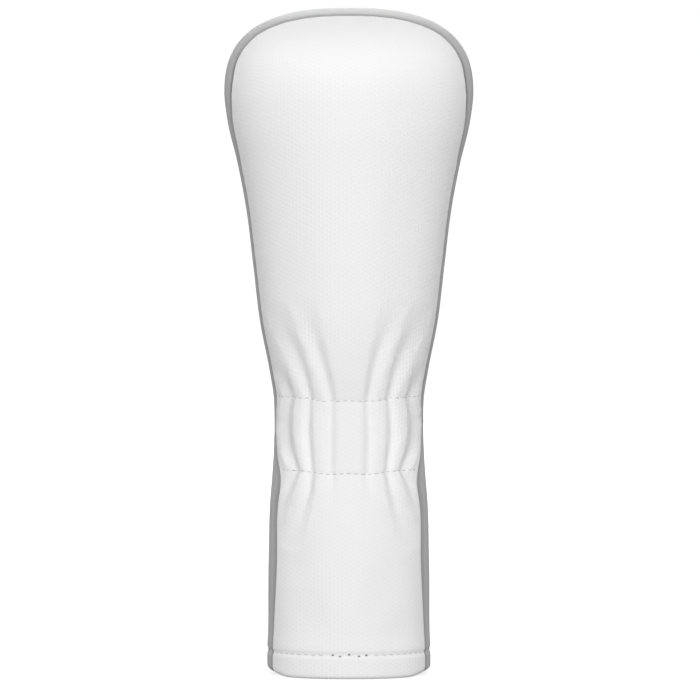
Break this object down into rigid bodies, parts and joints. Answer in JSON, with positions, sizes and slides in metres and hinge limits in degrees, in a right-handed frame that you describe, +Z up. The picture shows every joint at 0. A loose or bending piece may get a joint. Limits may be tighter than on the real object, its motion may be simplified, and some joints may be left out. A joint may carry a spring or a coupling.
{
  "type": "golf driver head cover",
  "caption": "Tall padded fabric sock for a golf driver head: rounded crown, side gusset, elastic gathered neck and open hemmed skirt.",
  "frame": {"origin": "centre of the open hem at the level the cover stands on", "axes": "+Z up the cover towards its closed crown, +X along its width, and the front panel faces -Y"},
  "size_m": [0.13, 0.124, 0.35],
  "materials": {
    "panel_fabric": "white knitted fabric embossed with fine staggered dimples",
    "gusset_fabric": "smooth light grey woven fabric with a fine rib and a faint sheen",
    "lining_fleece": "soft brushed grey fleece",
    "padding_foam": "open cell polyurethane foam, matt",
    "elastic_webbing": "white knitted elastic webbing",
    "sewing_thread": "light grey polyester sewing thread"
  },
  "bodies": {
    "root": {"front_panel": "panel_fabric", "back_panel": "panel_fabric", "side_gusset": "gusset_fabric", "front_foam": "padding_foam", "back_foam": "padding_foam", "gusset_foam": "padding_foam", "front_lining": "lining_fleece", "back_lining": "lining_fleece", "gusset_lining": "lining_fleece", "front_elastic": "elastic_webbing", "back_elastic": "elastic_webbing", "front_seam_thread": "sewing_thread", "back_seam_thread": "sewing_thread", "front_upper_elastic_stitch": "sewing_thread", "front_lower_elastic_stitch": "sewing_thread", "back_upper_elastic_stitch": "sewing_thread", "back_lower_elastic_stitch": "sewing_thread", "hem_stitch": "sewing_thread"}
  },
  "joints": []
}
